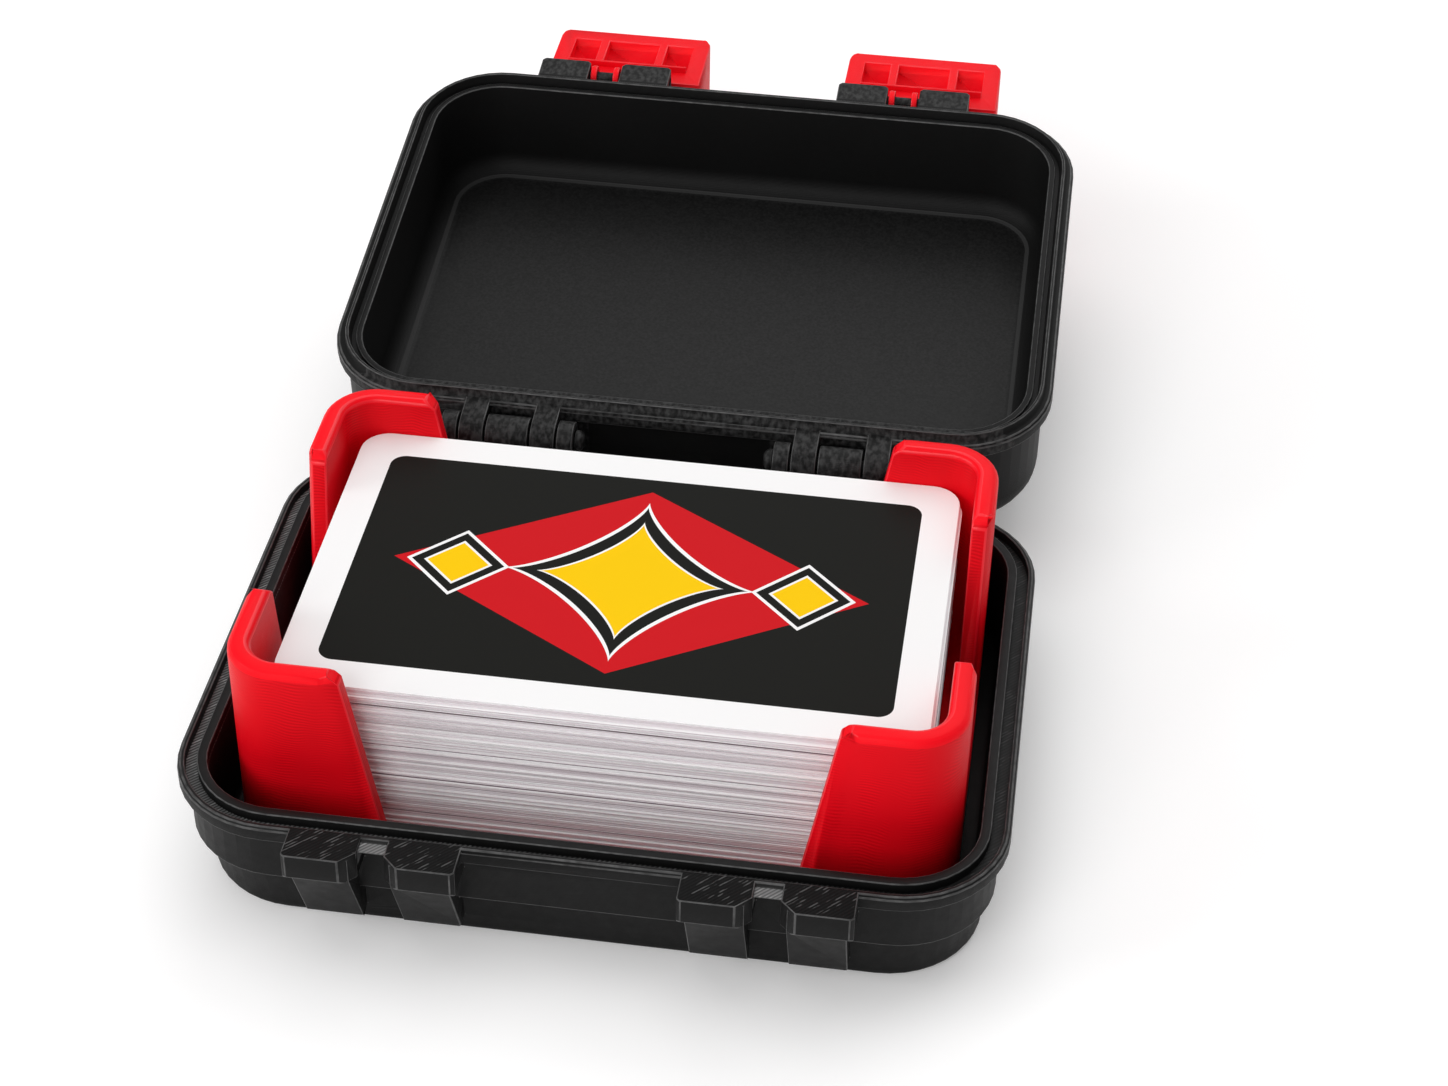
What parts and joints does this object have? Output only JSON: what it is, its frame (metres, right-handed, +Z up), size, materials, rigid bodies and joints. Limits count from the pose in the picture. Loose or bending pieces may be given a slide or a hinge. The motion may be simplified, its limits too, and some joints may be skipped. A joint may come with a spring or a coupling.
{
  "type": "card storage box",
  "caption": "Hinged two-part storage case for a deck of cards, with a lift-out corner-post holder and flip latches.",
  "frame": {"origin": "middle of the flat underside of the base, on the surface that the box stands on", "axes": "+Z up, +X to the right seen from the front, +Y towards the hinges and the open lid"},
  "size_m": [0.1104, 0.1976, 0.0362],
  "materials": {
    "black_plastic": "satin black plastic with fine layer lines",
    "red_plastic": "satin red plastic with fine layer lines",
    "card_stock": "smooth coated white card stock"
  },
  "bodies": {
    "base": {"base_shell": "black_plastic", "hinge_pin_left": "black_plastic", "hinge_pin_right": "black_plastic"},
    "lid": {"lid_shell": "black_plastic", "latch_pin_left": "black_plastic", "latch_pin_right": "black_plastic"},
    "latch_left": {"latch_left": "red_plastic"},
    "latch_right": {"latch_right": "red_plastic"},
    "holder": {"card_holder": "red_plastic"},
    "deck": {"card_packet_1": "card_stock", "card_packet_2": "card_stock", "card_packet_3": "card_stock", "card_packet_4": "card_stock", "card_packet_5": "card_stock", "card_packet_6": "card_stock", "card_packet_7": "card_stock", "card_packet_8": "card_stock", "top_card": "card_stock"}
  },
  "joints": [
    {"name": "lid_hinge", "type": "hinge", "parent": "base", "child": "lid", "pos_m": [0, 0.0445, 0.0218], "axis": [-1, 0, 0], "range_deg": [-172.8, 0]},
    {"name": "latch_left_hinge", "type": "hinge", "parent": "lid", "child": "latch_left", "pos_m": [-0.0255, 0.13261, 0.03364], "axis": [-1, 0, 0], "range_deg": [-97.2, 0]},
    {"name": "latch_right_hinge", "type": "hinge", "parent": "lid", "child": "latch_right", "pos_m": [0.0255, 0.13261, 0.03364], "axis": [-1, 0, 0], "range_deg": [-97.2, 0]},
    {"name": "holder_lift", "type": "slide", "parent": "base", "child": "holder", "axis": [0, 0, 1], "range_m": [0, 0.04]},
    {"name": "deck_lift", "type": "slide", "parent": "holder", "child": "deck", "axis": [0, 0, 1], "range_m": [0, 0.04]}
  ]
}
